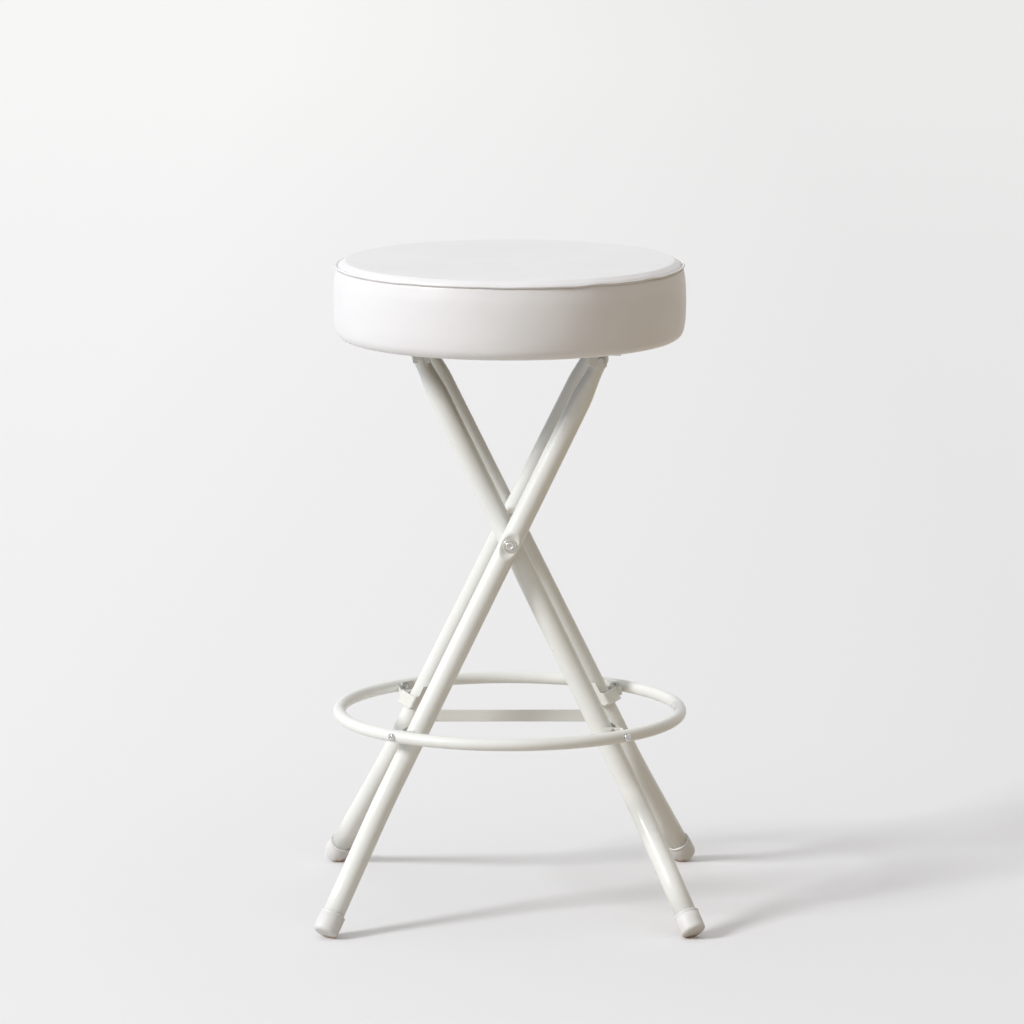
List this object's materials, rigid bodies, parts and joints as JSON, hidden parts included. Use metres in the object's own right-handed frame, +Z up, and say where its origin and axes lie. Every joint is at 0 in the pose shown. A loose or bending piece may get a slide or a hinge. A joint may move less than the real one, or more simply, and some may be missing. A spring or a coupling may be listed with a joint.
{
  "type": "folding stool",
  "caption": "Scissor-leg folding stool with a round padded seat, a hinged foot ring and splayed tubular legs",
  "frame": {"origin": "middle of the stool on the floor, under the centre of the seat, in the open pose", "axes": "+Z up, +X to the sitter's right as the crossing legs are seen from the front, +Y towards the back"},
  "size_m": [0.3976, 0.3828, 0.673],
  "materials": {
    "leg_paint": "off-white semi-gloss powder coat",
    "foot_rubber": "white moulded plastic",
    "leg_bracket": "off-white powder-coated sheet steel",
    "ring_tab": "off-white powder-coated sheet steel",
    "zinc_hardware": "zinc-plated steel",
    "pivot_rivet": "plated rivet",
    "washer_plastic": "thin white nylon",
    "ring_paint": "off-white semi-gloss powder coat",
    "screw_steel": "bright plated steel",
    "stay_steel": "off-white powder coat",
    "seat_vinyl": "off-white smooth vinyl",
    "welt_vinyl": "off-white vinyl piping",
    "seat_board": "plain plywood",
    "underside_cloth": "thin black backing cloth",
    "seat_bracket": "off-white powder-coated sheet steel"
  },
  "bodies": {
    "frame_a": {"foot_cap_a_back": "foot_rubber", "foot_cap_a_front": "foot_rubber", "leg_a_back": "leg_paint", "leg_a_front": "leg_paint", "pivot_rivet_back": "pivot_rivet", "pivot_rivet_front": "pivot_rivet", "pivot_washers": "washer_plastic", "ring_bracket_a_back": "leg_bracket", "ring_bracket_a_front": "leg_bracket", "ring_hinge_pins": "zinc_hardware", "stay_stud_a": "zinc_hardware", "top_rod_a": "leg_paint"},
    "frame_b": {"foot_cap_b_back": "foot_rubber", "foot_cap_b_front": "foot_rubber", "leg_b_back": "leg_paint", "leg_b_front": "leg_paint", "ring_bracket_b_back": "leg_bracket", "ring_bracket_b_front": "leg_bracket", "stay_stud_b": "zinc_hardware", "top_rod_b": "leg_paint"},
    "seat": {"seat_board": "seat_board", "seat_catch_bracket": "seat_bracket", "seat_catch_screws": "screw_steel", "seat_cushion": "seat_vinyl", "seat_hinge_bracket": "seat_bracket", "seat_hinge_screws": "screw_steel", "seat_underside_cover": "underside_cloth", "seat_welt": "welt_vinyl"},
    "ring": {"foot_ring": "ring_paint", "ring_nuts": "screw_steel", "ring_rest_studs": "zinc_hardware", "ring_screws": "screw_steel", "ring_tab_a_back": "ring_tab", "ring_tab_a_front": "ring_tab", "ring_tab_b_back": "ring_tab", "ring_tab_b_front": "ring_tab"},
    "stay": {"stay_bar": "stay_steel"}
  },
  "joints": [
    {"name": "fold", "type": "hinge", "parent": "frame_a", "child": "frame_b", "pos_m": [0, 0, 0.391], "axis": [0, 1, 0], "range_deg": [0, 45]},
    {"name": "seat_tilt", "type": "hinge", "parent": "frame_a", "child": "seat", "pos_m": [0.09267, 0, 0.581], "axis": [0, 1, 0], "range_deg": [0, 108]},
    {"name": "ring_tilt", "type": "hinge", "parent": "frame_a", "child": "ring", "pos_m": [-0.10601, 0, 0.1955], "axis": [0, -1, 0], "range_deg": [0, 45]},
    {"name": "stay_swing", "type": "hinge", "parent": "frame_a", "child": "stay", "pos_m": [-0.09023, 0, 0.206], "axis": [0, -1, 0], "range_deg": [0, 60.75]}
  ],
  "couplings": [
    {"joint": "seat_tilt", "follows": "fold", "ratio": 2.4},
    {"joint": "ring_tilt", "follows": "fold", "ratio": 1},
    {"joint": "stay_swing", "follows": "fold", "ratio": 1.35}
  ]
}
